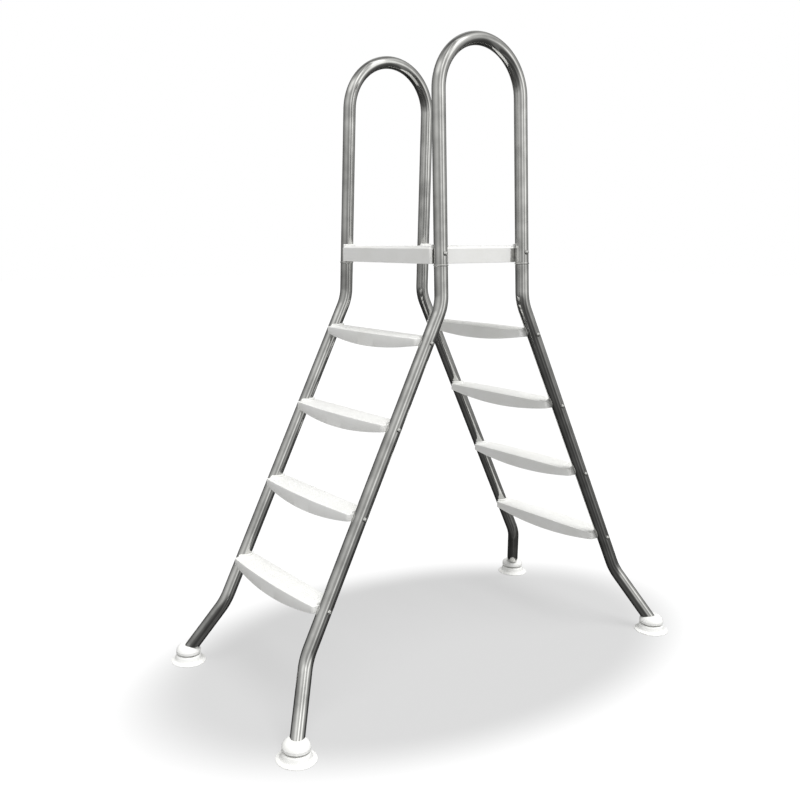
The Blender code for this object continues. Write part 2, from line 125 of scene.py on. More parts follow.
class LadderMouldingSizes(bpy.types.PropertyGroup):
    """Sizes of the steps and the platform"""

    front: length("Front reach", 0.043, "Tread ahead of the stile's axis at its ends")
    rear: length("Rear reach", 0.038, "Tread behind the stile's axis")
    half: length("Half length", 0.244, "Half of a step's length")
    bow: length("Front bow", 0.012, "How far the front edge swells at the middle")
    skirt: length("Skirt", 0.022, "Depth of the skirt at a step's ends")
    skirt_bow: length("Skirt bow", 0.022, "Extra depth of the skirt at the middle")
    corner: length("Corner radius", 0.008, "Radius of the upright corners")
    edge: length("Edge radius", 0.0024, "Radius around the tread")
    deck_edge: length("Deck chamfer", 0.0055, "Chamfer around the deck")
    shell: length("Wall", 0.0035, "Thickness of the moulded walls")
    rib: length("Rib", 0.003, "Thickness of the ribs between the hollow cells")
    ear: length("Ear radius", 0.0285, "Outer radius of the upstand around a tube")
    ear_rise: length("Ear rise", 0.007, "Height of the upstand above the tread")
    ear_root: length("Ear root", 0.006, "How far the upstand reaches into the tread")
    ear_edge: length("Ear edge", 0.0022, "Radius around the upstand's top")
    grip_pitch: length("Grip pitch", 0.009, "Distance between the grip ribs")
    grip_width: length("Grip width", 0.0028, "Width of a grip rib")
    grip_rise: length("Grip rise", 0.0006, "Height of a grip rib")
    grip_half: length("Grip half length", 0.206, "Half of a grip rib's length")
    grip_rear: length("Grip rear margin", 0.009, "From a tread's rear edge to its first grip rib")
    grip_front: length("Grip front margin", 0.005, "Least distance from a tread's front end to a grip rib")
    deck_margin: length("Deck grip margin", 0.014, "From the platform's edge to its first grip rib")
    solid_end: length("Solid end", 0.214, "Distance from the middle where the hollow underside stops")
    sheet: length("Bracket sheet", 0.002, "Thickness of the saddle brackets")


class LadderBoltSizes(bpy.types.PropertyGroup):
    """Sizes of the domed bolts"""

    shank: length("Shank radius", 0.004, "Radius of the shank")
    rise: length("Head rise", 0.0053, "Height of the domed head")
    recess: length("Recess radius", 0.0024, "Radius of the drive recess")
    recess_floor: length("Recess floor", 0.0030, "Height of the recess's floor above the seat")


class LadderFootSizes(bpy.types.PropertyGroup):
    """Sizes of the swivel feet"""

    lip: length("Lip radius", 0.0585, "Outer radius of the base's lip")
    cap: length("Cap radius", 0.041, "Outer radius of the cap's rim")
    cap_bottom: length("Cap rim", 0.030, "Height of the cap's rim")
    cap_band: length("Cap band", 0.0085, "Height of the upright band around the cap's rim")
    cap_top: length("Cap top", 0.056, "Height at which the cap closes around the tube")
    floor: length("Cap floor", 0.004, "Thickness of the cap's floor under the tube")
    pivot: length("Pivot", 0.022, "Height of the ball's centre")
    ball: length("Ball radius", 0.010, "Radius of the ball under the cap")
    neck: length("Neck radius", 0.0055, "Radius of the neck that carries the ball")
    socket: length("Socket radius", 0.0107, "Radius of the socket in the base")


class LadderColours(bpy.types.PropertyGroup):
    """Colours and finishes"""

    steel: tint("Steel", (0.64, 0.64, 0.625), "Polished stainless tube")
    steel_dull: tint("Dull steel", (0.42, 0.42, 0.41), "Handled patches of the tube")
    fastener: tint("Fastener", (0.70, 0.70, 0.68), "Domed bolts")
    bead: tint("Bead", (0.95, 0.95, 0.93), "Beads of the joint ferrules")
    bracket: tint("Bracket", (0.92, 0.92, 0.90), "Pressed saddle brackets")
    plastic: tint("Moulding", (0.84, 0.84, 0.825), "Steps and platform")
    plastic_aged: tint("Aged moulding", (0.80, 0.80, 0.775), "Slightly yellowed patches")
    foot: tint("Foot", (0.86, 0.86, 0.845), "Caps and bases of the feet")
    scuff: tint("Scuff", (0.62, 0.61, 0.58), "Scuffed rim of the feet")


class LadderStage(bpy.types.PropertyGroup):
    """Camera, lights and floor"""

    eye: place("Camera place", (-1.9770, -2.3896, 1.4199), "Where the camera stands")
    yaw: FloatProperty(name="Yaw", default=0.5749, subtype="ANGLE", description="Turn from +Y towards +X")
    pitch: FloatProperty(name="Pitch", default=-0.0944, subtype="ANGLE", description="Tilt above the horizon")
    roll: FloatProperty(name="Roll", default=-0.0034, subtype="ANGLE",
                        description="Turn about the line of sight")
    lens: FloatProperty(name="Lens", default=40.87, description="Focal length in millimetres")
    shift: FloatVectorProperty(name="Shift", size=2, default=(0.0940, -0.0929), description="Lens shift")
    floor: tint("Floor", (0.90, 0.90, 0.90), "Pale studio floor")
    # Painted shadow: the glow tone of a soft grey oval on the floor under the ladder, standing in for the
    # ladder's shadow
    under: tint("Under the ladder", (0.555, 0.555, 0.555), "Floor between the feet")
    body: tint("Floor body", (0.12, 0.12, 0.12), "Part of the floor's tone that takes shadows")
    bounce: tint("Bounce", (0.42, 0.42, 0.42), "How much light the floor throws back up")
    # Size and soft edge of the painted shadow oval
    reach: FloatVectorProperty(name="Grey reach", size=2, default=(1.02, 0.60), unit="LENGTH",
                               description="Half lengths of the greyer oval of the floor")
    fade: FloatVectorProperty(name="Grey fade", size=2, default=(0.82, 1.20),
                              description="Where the oval starts and stops fading, as shares of its reach")
    sun: FloatProperty(name="Overhead strength", default=2.75, description="Strength of the overhead light")
    sun_width: FloatProperty(name="Overhead width", default=math.radians(34), subtype="ANGLE",
                             description="Apparent width of the overhead light")
    sun_from: FloatVectorProperty(name="Overhead from", default=(-0.04, -0.42, 0.90), subtype="XYZ",
                                  description="Direction that the overhead light comes from")
    even: FloatProperty(name="Even light", default=0.62, description="Strength of the light from all round")
    room: FloatProperty(name="Reflected light", default=3.0, description="Strength of the reflected panels")


GROUPS = {
    "ladder_tubes": LadderTubeSizes,
    "ladder_mouldings": LadderMouldingSizes,
    "ladder_bolts": LadderBoltSizes,
    "ladder_feet": LadderFootSizes,
    "ladder_colours": LadderColours,
    "ladder_stage": LadderStage,
}


def tubes():
    return bpy.context.scene.ladder_tubes


def mouldings():
    return bpy.context.scene.ladder_mouldings


def bolts():
    return bpy.context.scene.ladder_bolts


def feet():
    return bpy.context.scene.ladder_feet


def colours():
    return bpy.context.scene.ladder_colours


# Places on the legs


def quarter(point, side, hand):
    """A point of the positive quarter moved to another leg."""
    return Vector((point[0] * side, point[1] * hand, point[2]))


def lean_run(hand):
    """Direction of an upright, one metre up."""
    return Vector((0.0, tubes().lean * hand, 1.0))


def upright_point(z, side, hand):
    """Axis of a leg above its upper bend."""
    upper = Vector(tubes().upper)
    return quarter(upper + lean_run(1) * (z - upper.z), side, hand)


def slope_run(side, hand):
    """Direction of a stile between its bends, one metre down."""
    upper, lower = Vector(tubes().upper), Vector(tubes().lower)
    return quarter((lower - upper) / (upper.z - lower.z), side, hand)


def slope_point(z, side, hand):
    """Axis of a leg between its bends."""
    return quarter(tubes().upper, side, hand) + slope_run(side, hand) * (tubes().upper[2] - z)


def foot_centre(label):
    """Middle of a foot on the ground, from the frame."""
    low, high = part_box(f"foot_base_{label}")
    return Vector(((low.x + high.x) / 2, (low.y + high.y) / 2, 0.0))


def legs():
    """The four legs as (label, side, hand)."""
    for side_name, side in SIDES.items():
        for hand_name, hand in HANDS.items():
            yield f"{side_name}_{hand_name}", side, hand


# Bmesh tools


def turn_to(direction):
    """Rotation that carries +Z to a direction."""
    return Vector((0, 0, 1)).rotation_difference(Vector(direction)).to_matrix().to_4x4()


def ring(bm, centre, direction, radius, sides):
    """A circle of edges across a direction."""
    matrix = Matrix.Translation(centre) @ turn_to(direction)
    made = bmesh.ops.create_circle(bm, cap_ends=False, radius=radius, segments=sides, matrix=matrix)
    return list({edge for vert in made["verts"] for edge in vert.link_edges})


def run_straight(bm, edges, move):
    """Extrudes a ring along a straight."""
    made = bmesh.ops.extrude_edge_only(bm, edges=edges)["geom"]
    verts = {part for part in made if isinstance(part, bmesh.types.BMVert)}
    bmesh.ops.translate(bm, verts=list(verts), vec=move)
    return [part for part in made if isinstance(part, bmesh.types.BMEdge) and verts.issuperset(part.verts)]


def run_bend(bm, edges, centre, axis, angle, steps):
    """Spins a ring through a bend."""
    verts = list({vert for edge in edges for vert in edge.verts})
    made = bmesh.ops.spin(bm, geom=verts + edges, cent=centre, axis=axis, dvec=(0, 0, 0), angle=angle,
                          steps=steps, use_duplicate=False)["geom_last"]
    return [part for part in made if isinstance(part, bmesh.types.BMEdge)]


def run_corner(bm, edges, start, corner, after, radius, steps):
    """Runs a ring up to a corner and round it; gives the new ring and where it stands."""
    ahead, out = (corner - start).normalized(), (after - corner).normalized()
    axis, angle = ahead.cross(out).normalized(), ahead.angle(out)
    tangent = corner - ahead * radius * math.tan(angle / 2)
    edges = run_straight(bm, edges, tangent - start)
    edges = run_bend(bm, edges, tangent + axis.cross(ahead) * radius, axis, angle, steps)
    return edges, corner + out * radius * math.tan(angle / 2)


def rod(bm, start, end, radius, sides=48):
    """A closed cylinder between two points."""
    axis = end - start
    matrix = Matrix.Translation((start + end) / 2) @ turn_to(axis)
    return bmesh.ops.create_cone(bm, cap_ends=True, segments=sides, radius1=radius, radius2=radius,
                                 depth=axis.length, matrix=matrix)["verts"]


def block(bm, low, high):
    """A box between two corners."""
    low, high = Vector(low), Vector(high)
    size = Matrix.Diagonal((*(high - low), 1.0))
    return bmesh.ops.create_cube(bm, size=1.0, matrix=Matrix.Translation((low + high) / 2) @ size)["verts"]


def turned(bm, profile, sides):
    """Turns a profile of (radius, height) points about Z, closing it at the axis."""
    verts = [bm.verts.new((radius, 0.0, height)) for radius, height in profile]
    edges = [bm.edges.new(pair) for pair in zip(verts, verts[1:])]
    bmesh.ops.spin(bm, geom=verts + edges, cent=(0, 0, 0), axis=(0, 0, 1), dvec=(0, 0, 0),
                   angle=math.tau, steps=sides, use_merge=True, use_duplicate=False)
    bmesh.ops.remove_doubles(bm, verts=bm.verts, dist=TINY)


def soften(bm, edges, radius, segments):
    """Rounds edges."""
    bmesh.ops.bevel(bm, geom=list(edges), offset=radius, offset_type="OFFSET", segments=segments, profile=0.5,
                    affect="EDGES", clamp_overlap=True, material=-1)


def sharp_edges(bm, degrees):
    """Edges whose faces meet at more than an angle."""
    bm.normal_update()
    limit = math.radians(degrees)
    return [edge for edge in bm.edges if len(edge.link_faces) == 2 and edge.calc_face_angle(0.0) > limit]


def rim_edges(bm, up):
    """Edges around the faces that look up (up=1) or down (up=-1)."""
    bm.normal_update()
    flat = {face for face in bm.faces if face.normal.z * up > 0.7}
    return [edge for edge in bm.edges if sum(face in flat for face in edge.link_faces) == 1]


def upright_edges(bm):
    """Edges that stand upright."""
    return [edge for edge in bm.edges
            if abs(edge.verts[0].co.z - edge.verts[1].co.z) > 0.9 * edge.calc_length()]


def close_loops(bm):
    """Caps every open ring."""
    bmesh.ops.holes_fill(bm, edges=[edge for edge in bm.edges if edge.is_boundary], sides=0)


def cut_level(bm, height, keep_above=True):
    """Cuts a shape level and closes the cut."""
    direction = (0, 0, -1) if keep_above else (0, 0, 1)
    geom = [*bm.verts, *bm.edges, *bm.faces]
    bmesh.ops.bisect_plane(bm, geom=geom, dist=TINY, plane_co=(0, 0, height), plane_no=direction,
                           clear_outer=True)
    close_loops(bm)


def mesh_object(name, bm):
    """The bmesh as an object at the origin, faces outward."""
    bmesh.ops.recalc_face_normals(bm, faces=bm.faces)
    mesh = bpy.data.meshes.new(name)
    bm.to_mesh(mesh)
    bm.free()
    obj = bpy.data.objects.new(name, mesh)
    bpy.context.scene.collection.objects.link(obj)
    return obj


def carve(obj, bm, operation="DIFFERENCE"):
    """Cuts or joins a shape with the exact Boolean, and applies it."""
    tool = mesh_object(f"{obj.name}_tool", bm)
    modifier = obj.modifiers.new("carve", "BOOLEAN")
    modifier.operation, modifier.solver, modifier.object = operation, "EXACT", tool
    graph = bpy.context.evaluated_depsgraph_get()
    result = bpy.data.meshes.new_from_object(obj.evaluated_get(graph))
    obj.modifiers.clear()
    spent, obj.data = obj.data, result
    result.name = obj.name
    bpy.data.meshes.remove(spent)
    bpy.data.objects.remove(tool, do_unlink=True)


def flatten_broad_faces(mesh):
    """Flat shading for the faces square to an axis, so that they don't take up the rounding beside them."""
    square_on = 0.9999
    for face in mesh.polygons:
        face.use_smooth = max(abs(part) for part in face.normal) < square_on


def finish_piece(obj, node, material, body=MAIN_BODY, sharp=32, broad_faces=False):
    """Shades a piece, hangs it under its body and hides the frame node that it replaces; sharp is the angle
    in degrees of an edge kept crisp.
    """
    obj.data.materials.clear()
    obj.data.materials.append(material)
    obj.data.shade_smooth()
    obj.data.set_sharp_from_angle(angle=math.radians(sharp))
    if broad_faces:
        flatten_broad_faces(obj.data)
    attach(obj, body)
    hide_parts(node)
    return obj


# Shader node groups


def new_group(name, inputs, outputs):
    """An empty shader group with named sockets."""
    tree = bpy.data.node_groups.new(name, "ShaderNodeTree")
    for label, kind, default in inputs:
        socket = tree.interface.new_socket(label, in_out="INPUT", socket_type=kind)
        socket.default_value = default
    for label, kind in outputs:
        tree.interface.new_socket(label, in_out="OUTPUT", socket_type=kind)
    return tree, tree.nodes.new("NodeGroupInput"), tree.nodes.new("NodeGroupOutput")


def noise(tree, vector, scale, detail=3.0, stretch=None):
    """A noise texture, optionally on squeezed coordinates; scale is a number or a socket."""
    node = tree.nodes.new("ShaderNodeTexNoise")
    node.inputs["Detail"].default_value = detail
    if stretch:
        mapping = tree.nodes.new("ShaderNodeMapping")
        mapping.inputs["Scale"].default_value = stretch
        tree.links.new(vector, mapping.inputs["Vector"])
        vector = mapping.outputs["Vector"]
    tree.links.new(vector, node.inputs["Vector"])
    if isinstance(scale, (int, float)):
        node.inputs["Scale"].default_value = scale
    else:
        tree.links.new(scale, node.inputs["Scale"])
    return node.outputs["Fac"]


def remap(tree, value, low, high, out_low=0.0, out_high=1.0):
    """A value range mapped to another; the output limits may be sockets."""
    node = tree.nodes.new("ShaderNodeMapRange")
    tree.links.new(value, node.inputs["Value"])
    node.inputs["From Min"].default_value = low
    node.inputs["From Max"].default_value = high
    for label, limit in (("To Min", out_low), ("To Max", out_high)):
        if isinstance(limit, (int, float)):
            node.inputs[label].default_value = limit
        else:
            tree.links.new(limit, node.inputs[label])
    return node.outputs["Result"]


def mixed(tree, factor, first, second):
    """Two colours mixed by a value; each is a socket or a plain colour."""
    node = tree.nodes.new("ShaderNodeMix")
    node.data_type = "RGBA"
    tree.links.new(factor, node.inputs[0])
    for index, colour in ((6, first), (7, second)):
        if isinstance(colour, bpy.types.NodeSocket):
            tree.links.new(colour, node.inputs[index])
        else:
            node.inputs[index].default_value = opaque(colour)
    return node.outputs[2]


def math_node(tree, operation, first, second):
    """A two-input Math node; the second input may be a number."""
    node = tree.nodes.new("ShaderNodeMath")
    node.operation = operation
    tree.links.new(first, node.inputs[0])
    if isinstance(second, (int, float)):
        node.inputs[1].default_value = second
    else:
        tree.links.new(second, node.inputs[1])
    return node.outputs[0]


def grain_group():
    """Patchy tone, gloss and fine grain of a surface."""
    tree, given, result = new_group(
        "surface_grain",
        [("Base", "NodeSocketColor", (0.8, 0.8, 0.8, 1)), ("Patch", "NodeSocketColor", (0.7, 0.7, 0.7, 1)),
         ("Patch Scale", "NodeSocketFloat", 6.0), ("Grain Scale", "NodeSocketFloat", 900.0),
         ("Glossy", "NodeSocketFloat", 0.2), ("Dull", "NodeSocketFloat", 0.4)],
        [("Colour", "NodeSocketColor"), ("Roughness", "NodeSocketFloat"), ("Height", "NodeSocketFloat")])
    spot = tree.nodes.new("ShaderNodeTexCoord").outputs["Object"]
    patches = remap(tree, noise(tree, spot, given.outputs["Patch Scale"]), 0.35, 0.70)
    grain = noise(tree, spot, given.outputs["Grain Scale"], detail=2.0)
    tone = mixed(tree, patches, given.outputs["Base"], given.outputs["Patch"])
    gloss = math_node(tree, "MULTIPLY", patches, 0.6)
    gloss = math_node(tree, "ADD", gloss, remap(tree, grain, 0.3, 0.7, 0.0, 0.4))
    tree.links.new(tone, result.inputs["Colour"])
    tree.links.new(remap(tree, gloss, 0.0, 1.0, given.outputs["Glossy"], given.outputs["Dull"]),
                   result.inputs["Roughness"])
    tree.links.new(grain, result.inputs["Height"])
    return tree


def polish_group():
    """Long polishing lines and a slow waviness of drawn tube, as a height and a scratch mask."""
    tree, given, result = new_group(
        "polish_lines",
        [("Line Scale", "NodeSocketFloat", 1.0), ("Wave Scale", "NodeSocketFloat", 24.0)],
        [("Height", "NodeSocketFloat"), ("Scratches", "NodeSocketFloat")])
    spot = tree.nodes.new("ShaderNodeTexCoord").outputs["Object"]
    lines = noise(tree, spot, given.outputs["Line Scale"], detail=4.0, stretch=(700, 700, 9))
    waves = noise(tree, spot, given.outputs["Wave Scale"], detail=1.0)
    height = math_node(tree, "ADD", math_node(tree, "MULTIPLY", lines, 0.03), waves)
    tree.links.new(height, result.inputs["Height"])
    tree.links.new(remap(tree, lines, 0.60, 0.78), result.inputs["Scratches"])
    return tree


def group_node(tree, name, maker, values):
    """A shared group placed in a material with its own values."""
    node = tree.nodes.new("ShaderNodeGroup")
    node.node_tree = bpy.data.node_groups.get(name) or maker()
    for label, value in values.items():
        node.inputs[label].default_value = value
    return node


def bump(tree, height, shader, strength, distance):
    """Feeds a height to a shader's normal."""
    node = tree.nodes.new("ShaderNodeBump")
    node.inputs["Strength"].default_value = strength
    node.inputs["Distance"].default_value = distance
    tree.links.new(height, node.inputs["Height"])
    tree.links.new(node.outputs["Normal"], shader.inputs["Normal"])


def new_material(name):
    """A material with its node tree and Principled BSDF."""
    made = bpy.data.materials.new(name)
    made.use_nodes = True
    return made, made.node_tree, made.node_tree.nodes["Principled BSDF"]


def opaque(colour):
    """A colour with full alpha."""
    return (*colour, 1.0)


def steel_material(name, base, patch, glossy, dull, wave=0.00010):
    """Stainless steel: mirror polish with handled patches and drawn lines."""
    made, tree, shader = new_material(name)
    grain = group_node(tree, "surface_grain", grain_group,
                       {"Base": opaque(base), "Patch": opaque(patch), "Patch Scale": 15.0,
                        "Grain Scale": 420.0, "Glossy": glossy, "Dull": dull})
    polish = group_node(tree, "polish_lines", polish_group, {"Line Scale": 1.0, "Wave Scale": 26.0})
    shader.inputs["Metallic"].default_value = 1.0
    tree.links.new(grain.outputs["Colour"], shader.inputs["Base Color"])
    worn = math_node(tree, "MULTIPLY", polish.outputs["Scratches"], 0.10)
    tree.links.new(math_node(tree, "ADD", grain.outputs["Roughness"], worn), shader.inputs["Roughness"])
    bump(tree, polish.outputs["Height"], shader, 0.5, wave)
    return made


def plastic_material(name, base, patch, glossy, dull):
    """Moulded plastic with a fine spark grain."""
    made, tree, shader = new_material(name)
    grain = group_node(tree, "surface_grain", grain_group,
                       {"Base": opaque(base), "Patch": opaque(patch), "Patch Scale": 9.0,
                        "Grain Scale": 1300.0, "Glossy": glossy, "Dull": dull})
    shader.inputs["Metallic"].default_value = 0.0
    shader.inputs["Specular IOR Level"].default_value = 0.45
    tree.links.new(grain.outputs["Colour"], shader.inputs["Base Color"])
    tree.links.new(grain.outputs["Roughness"], shader.inputs["Roughness"])
    bump(tree, grain.outputs["Height"], shader, 0.35, 0.00018)
    return made


def foot_material():
    """Softer white plastic, scuffed where it meets the ground."""
    made = plastic_material("foot_plastic_white", colours().foot, colours().plastic_aged, 0.32, 0.50)
    tree = made.node_tree
    shader = tree.nodes["Principled BSDF"]
    clean = shader.inputs["Base Color"].links[0].from_socket
    split = tree.nodes.new("ShaderNodeSeparateXYZ")
    spot = tree.nodes.new("ShaderNodeTexCoord").outputs["Object"]
    tree.links.new(spot, split.inputs[0])
    low = remap(tree, split.outputs["Z"], 0.0045, 0.0005)
    marks = remap(tree, noise(tree, spot, 160.0, detail=5.0), 0.48, 0.66)
    worn = math_node(tree, "MULTIPLY", math_node(tree, "MULTIPLY", low, marks), 0.7)
    tree.links.new(mixed(tree, worn, clean, colours().scuff), shader.inputs["Base Color"])
    return made


def finish_of(name):
    """A finish of the ladder, made once."""
    found = bpy.data.materials.get(name)
    if found:
        return found
    tone = colours()
    if name == "tube_steel":
        return steel_material(name, tone.steel, tone.steel_dull, 0.045, 0.16)
    if name == "bracket_sheet":
        return steel_material(name, tone.bracket, tone.fastener, 0.36, 0.50)
    if name == "bead_steel":
        return steel_material(name, tone.bead, tone.fastener, 0.20, 0.32)
    if name == "fastener_steel":
        return steel_material(name, tone.fastener, tone.steel, 0.10, 0.24)
    if name == "tread_plastic":
        return plastic_material(name, tone.plastic, tone.plastic_aged, 0.30, 0.46)
    return foot_material()


# Operators: one for each group of like pieces


class LADDER_OT_handrails(bpy.types.Operator):
    """Bend the two handrail hoops"""

    bl_idname = "ladder.handrails"
    bl_label = "Handrail Hoops"

    def execute(self, context):
        size = tubes()
        for hand_name, hand in HANDS.items():
            radius = size.upper[0]
            lean = lean_run(hand)
            spring = size.hoop_top - radius
            foot = upright_point(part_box(f"handrail_{hand_name}")[0].z + 0.0002, 1, hand)
            top = upright_point(spring, 1, hand)
            bm = bmesh.new()
            edges = ring(bm, foot, lean, size.radius, size.sides)
            edges = run_straight(bm, edges, top - foot)
            axis = Vector((1, 0, 0)).cross(lean).normalized()
            edges = run_bend(bm, edges, top - Vector((radius, 0, 0)), axis, math.pi, 48)
            run_straight(bm, edges, foot - top)
            close_loops(bm)
            hoop = mesh_object(f"hoop_tube_{hand_name}", bm)
            finish_piece(hoop, f"handrail_{hand_name}", finish_of("tube_steel"), sharp=60)
        return {"FINISHED"}


class LADDER_OT_stiles(bpy.types.Operator):
    """Bend the four stiles"""

    bl_idname = "ladder.stiles"
    bl_label = "Stiles"

    def execute(self, context):
        size = tubes()
        for label, side, hand in legs():
            top = upright_point(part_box(f"stile_{label}")[1].z - 0.0008, side, hand)
            upper, lower, foot = (quarter(point, side, hand) for point in (size.upper, size.lower, size.foot))
            bm = bmesh.new()
            edges = ring(bm, top, upper - top, size.radius, size.sides)
            edges, place_now = run_corner(bm, edges, top, upper, lower, size.bend, 14)
            edges, place_now = run_corner(bm, edges, place_now, lower, foot, size.bend, 14)
            run_straight(bm, edges, foot - place_now)
            cut_level(bm, size.end)
            stile = mesh_object(f"stile_tube_{label}", bm)
            finish_piece(stile, f"stile_{label}", finish_of("tube_steel"), sharp=60)
        return {"FINISHED"}


class LADDER_OT_ferrules(bpy.types.Operator):
    """Turn the joint ferrules, whose bead shows between hoop and stile"""

    bl_idname = "ladder.ferrules"
    bl_label = "Joint Ferrules"

    def execute(self, context):
        size = tubes()
        for label, side, hand in legs():
            low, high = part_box(f"joint_ferrule_{label}")
            half, width = (high.z - low.z) / 2 - 0.001, size.bead_half
            bore, neck = size.radius - size.sleeve_bore, size.radius - size.sleeve_in
            bead = size.radius + size.bead_swell
            swell = [(neck + (bead - neck) * math.cos(turn), width * math.sin(turn))
                     for turn in (math.radians(-75 + 25 * i) for i in range(7))]
            profile = [(bore, -half), (neck, -half), (neck, -width), *swell, (neck, width), (neck, half),
                       (bore, half), (bore, -half)]
            bm = bmesh.new()
            turned(bm, profile, size.sides)
            matrix = Matrix.Translation(upright_point(size.bead, side, hand)) @ turn_to(lean_run(hand))
            bmesh.ops.transform(bm, verts=bm.verts, matrix=matrix)
            sleeve = mesh_object(f"ferrule_{label}", bm)
            finish_piece(sleeve, f"joint_ferrule_{label}", finish_of("bead_steel"))
        return {"FINISHED"}


def step_shape(bm, front, rear, top, low, y_low, y_high, cuts):
    """A block along Y whose front edge bows out; low gives the depth at a place along Y."""
    size = mouldings()
    verts = block(bm, (-0.5, -0.5, -0.5), (0.5, 0.5, 0.5))
    long_edges = {edge for vert in verts for edge in vert.link_edges
                  if abs(edge.verts[0].co.y - edge.verts[1].co.y) > 0.9}
    kept = set(bm.verts) - set(verts)
    bmesh.ops.subdivide_edges(bm, edges=list(long_edges), cuts=cuts, use_grid_fill=True)
    for vert in set(bm.verts) - kept:
        y = y_low + (vert.co.y + 0.5) * (y_high - y_low)
        swell = 1 - (y / size.half) ** 2
        x = front + size.bow * swell if vert.co.x > 0 else -rear
        vert.co = (x, y, top if vert.co.z > 0 else low(swell))


def put_in_place(bm, side, place_at):
    """Turns a step to its side of the ladder and puts it in place."""
    matrix = Matrix.Translation(place_at) @ Matrix.Diagonal((side, 1, 1, 1))
    bmesh.ops.transform(bm, verts=bm.verts, matrix=matrix)


def step_body(side, place_at):
    """The bowed tread with its skirts, edges rounded."""
    size = mouldings()
    bm = bmesh.new()
    step_shape(bm, size.front, size.rear, 0.0, lambda swell: -size.skirt - size.skirt_bow * swell,
               -size.half, size.half, 28)
    ends = [edge for edge in upright_edges(bm) if abs(abs(edge.verts[0].co.y) - size.half) < TINY]
    soften(bm, ends, size.corner, 6)
    soften(bm, rim_edges(bm, 1), size.edge, 5)
    soften(bm, rim_edges(bm, -1), 0.0010, 2)
    put_in_place(bm, side, place_at)
    return bm


def step_cells(side, place_at):
    """Cutter for the hollow underside: three cells with a rib between each two."""
    size = mouldings()
    bm = bmesh.new()
    width = (2 * size.solid_end - (CELLS - 1) * size.rib) / CELLS
    for cell in range(CELLS):
        start = -size.solid_end + cell * (width + size.rib)
        step_shape(bm, size.front - size.shell, size.rear - size.shell, -size.shell,
                   lambda swell: -FAR_PAST / 2, start, start + width, 8)
    put_in_place(bm, side, place_at)
    return bm


def grip_ribs(obj, centre, side, reach):
    """Low ribs along Y on a walking surface, from the rear to the front reach."""
    size = mouldings()
    width, sunk = size.grip_width, 0.001
    count = int((reach[1] - reach[0]) / size.grip_pitch)
    bm = bmesh.new()
    for index in range(count + 1):
        x = centre.x + side * (reach[0] + index * size.grip_pitch)
        block(bm, (x - width / 2, -size.grip_half, centre.z - sunk),
              (x + width / 2, size.grip_half, centre.z + size.grip_rise))
    soften(bm, rim_edges(bm, 1), size.grip_rise * 0.6, 2)
    carve(obj, bm, "UNION")


def ear_shape(centre, run, limit_y):
    """The upstand that hugs the inner half of a tube, its top edge rounded."""
    size = mouldings()
    bm = bmesh.new()
    rod(bm, Vector((0, 0, -size.ear_root)), Vector((0, 0, size.ear_rise)), size.ear, 64)
    soften(bm, rim_edges(bm, 1), size.ear_edge, 4)
    stretch = run.length / abs(run.z)
    shear = Matrix.Shear("XY", 4, (run.x / run.z, run.y / run.z))
    matrix = Matrix.Translation(centre) @ shear @ Matrix.Diagonal((stretch, 1, 1, 1))
    bmesh.ops.transform(bm, verts=bm.verts, matrix=matrix)
    hand = math.copysign(1, centre.y)
    geom = [*bm.verts, *bm.edges, *bm.faces]
    bmesh.ops.bisect_plane(bm, geom=geom, dist=TINY, plane_co=(0, hand * limit_y, 0), plane_no=(0, hand, 0),
                           clear_outer=True)
    close_loops(bm)
    return bm


class LADDER_OT_steps(bpy.types.Operator):
    """Mould the eight steps, saddled onto their stiles"""

    bl_idname = "ladder.steps"
    bl_label = "Steps"

    def execute(self, context):
        size = mouldings()
        for side_name, side in SIDES.items():
            for number in STEPS:
                node = f"step_{side_name}_{number}"
                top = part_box(node)[1].z - size.ear_rise
                place_at = Vector((slope_point(top, side, 1).x, 0.0, top))
                piece = mesh_object(f"moulded_{node}", step_body(side, place_at))
                carve(piece, step_cells(side, place_at))
                grip_ribs(piece, place_at, side, (size.grip_rear - size.rear, size.front - size.grip_front))
                for hand in HANDS.values():
                    centre, run = slope_point(top, side, hand), slope_run(side, hand)
                    carve(piece, ear_shape(centre, run, size.half - 0.001), "UNION")
                    bore = bmesh.new()
                    reach = run * FAR_PAST
                    rod(bore, centre - reach, centre + reach, tubes().radius + GAP, tubes().sides)
                    carve(piece, bore)
                finish_piece(piece, node, finish_of("tread_plastic"), broad_faces=True)
        return {"FINISHED"}


